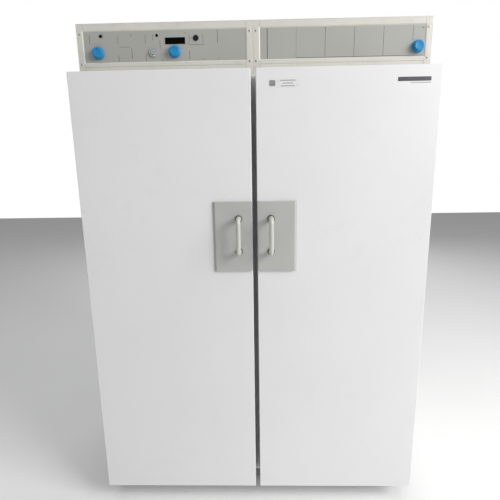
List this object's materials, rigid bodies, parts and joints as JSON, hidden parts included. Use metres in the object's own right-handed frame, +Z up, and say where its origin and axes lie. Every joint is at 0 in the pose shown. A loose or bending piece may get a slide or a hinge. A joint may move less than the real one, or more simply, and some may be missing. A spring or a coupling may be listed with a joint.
{
  "type": "laboratory incubator",
  "caption": "Free-standing laboratory incubator with two tall insulated doors, bridge handles on back plates and a control panel with blue knobs above.",
  "frame": {"origin": "on the floor under the middle of the overall box", "axes": "+Z up, the doors and the control panel face -Y, +X to the right as seen from the front"},
  "size_m": [1.15, 0.878, 1.728],
  "materials": {
    "door_paint": "satin",
    "cabinet_paint": "satin",
    "base_paint": "satin",
    "rear_sheet": "matte",
    "stainless": "satin",
    "shelf_wire": "polished",
    "insulation": "matte",
    "heater_sheath": "matte",
    "motor_black": "satin",
    "fan_metal": "satin",
    "bezel_plastic": "satin",
    "fascia_grey": "satin",
    "zinc_screws": "satin",
    "dark_window": "gloss",
    "circuit_board": "satin",
    "black_plastic": "satin",
    "collar_grey": "satin",
    "gasket_rubber": "matte",
    "plate_grey": "satin",
    "grip_cream": "satin",
    "knob_blue": "satin",
    "clear_plastic": "gloss",
    "foot_steel": "satin"
  },
  "bodies": {
    "cabinet": {"base_frame": "base_paint", "left_side_panel": "cabinet_paint", "right_side_panel": "cabinet_paint", "top_cover": "cabinet_paint", "rear_cover": "rear_sheet", "front_frame": "cabinet_paint", "center_mullion": "cabinet_paint", "chamber_liner": "stainless", "cabinet_insulation": "insulation", "air_baffle": "stainless", "shelf_rails": "stainless", "left_shelf_1": "shelf_wire", "left_shelf_2": "shelf_wire", "left_shelf_3": "shelf_wire", "right_shelf_1": "shelf_wire", "right_shelf_2": "shelf_wire", "right_shelf_3": "shelf_wire", "heater_coil": "heater_sheath", "fan_motor": "motor_black", "temperature_probe": "stainless", "exhaust_pipe": "stainless", "control_tray": "rear_sheet", "left_panel_frame": "bezel_plastic", "right_panel_frame": "bezel_plastic", "left_fascia": "fascia_grey", "right_fascia": "fascia_grey", "panel_screws": "zinc_screws", "display_window": "dark_window", "indicator_lamps": "dark_window", "control_board": "circuit_board", "power_supply": "rear_sheet", "safety_thermostat": "black_plastic", "panel_switches": "black_plastic", "mains_inlet": "black_plastic", "hinge_brackets": "zinc_screws"},
    "left_door": {"left_door_skin": "door_paint", "left_door_liner": "stainless", "left_door_insulation": "insulation", "left_door_gasket": "gasket_rubber", "left_handle_plate": "plate_grey", "left_handle": "grip_cream", "left_handle_collars": "collar_grey"},
    "right_door": {"right_door_skin": "door_paint", "right_door_liner": "stainless", "right_door_insulation": "insulation", "right_door_gasket": "gasket_rubber", "right_handle_plate": "plate_grey", "right_handle": "grip_cream", "right_handle_collars": "collar_grey"},
    "timer_knob": {"timer_knob": "knob_blue"},
    "setpoint_knob": {"setpoint_knob": "knob_blue"},
    "safety_dial": {"safety_dial": "clear_plastic"},
    "vent_control": {"vent_knob": "knob_blue", "vent_shaft": "stainless"},
    "power_button": {"power_button": "black_plastic"},
    "circulation_fan": {"fan_impeller": "fan_metal"},
    "front_left_foot": {"front_left_foot": "foot_steel"},
    "front_right_foot": {"front_right_foot": "foot_steel"},
    "rear_left_foot": {"rear_left_foot": "foot_steel"},
    "rear_right_foot": {"rear_right_foot": "foot_steel"}
  },
  "joints": [
    {"name": "left_door_hinge", "type": "hinge", "parent": "cabinet", "child": "left_door", "pos_m": [-0.56, -0.333, 0.82], "axis": [0, 0, -1], "range_deg": [0, 120]},
    {"name": "right_door_hinge", "type": "hinge", "parent": "cabinet", "child": "right_door", "pos_m": [0.56, -0.333, 0.82], "axis": [0, 0, 1], "range_deg": [0, 120]},
    {"name": "timer_knob_turn", "type": "hinge", "parent": "cabinet", "child": "timer_knob", "pos_m": [-0.503, -0.289, 1.639], "axis": [0, 1, 0], "range_deg": [0, 300]},
    {"name": "setpoint_knob_turn", "type": "hinge", "parent": "cabinet", "child": "setpoint_knob", "pos_m": [-0.253, -0.289, 1.639], "axis": [0, 1, 0], "range_deg": [0, 300]},
    {"name": "safety_dial_turn", "type": "hinge", "parent": "cabinet", "child": "safety_dial", "pos_m": [-0.323, -0.289, 1.639], "axis": [0, 1, 0], "range_deg": [0, 270]},
    {"name": "vent_turn", "type": "hinge", "parent": "cabinet", "child": "vent_control", "pos_m": [0.528, -0.289, 1.639], "axis": [0, 1, 0], "range_deg": [0, 60]},
    {"name": "power_button_press", "type": "slide", "parent": "cabinet", "child": "power_button", "axis": [0, 1, 0], "range_m": [0, 0.003], "stiffness_N_per_m": 600, "springref_m": -0.001},
    {"name": "fan_spin", "type": "hinge", "parent": "cabinet", "child": "circulation_fan", "pos_m": [0, 0.3, 1.24], "axis": [0, 1, 0], "continuous": true},
    {"name": "front_left_foot_screw", "type": "slide", "parent": "cabinet", "child": "front_left_foot", "axis": [0, 0, -1], "range_m": [0, 0.02]},
    {"name": "front_right_foot_screw", "type": "slide", "parent": "cabinet", "child": "front_right_foot", "axis": [0, 0, -1], "range_m": [0, 0.02]},
    {"name": "rear_left_foot_screw", "type": "slide", "parent": "cabinet", "child": "rear_left_foot", "axis": [0, 0, -1], "range_m": [0, 0.02]},
    {"name": "rear_right_foot_screw", "type": "slide", "parent": "cabinet", "child": "rear_right_foot", "axis": [0, 0, -1], "range_m": [0, 0.02]}
  ]
}
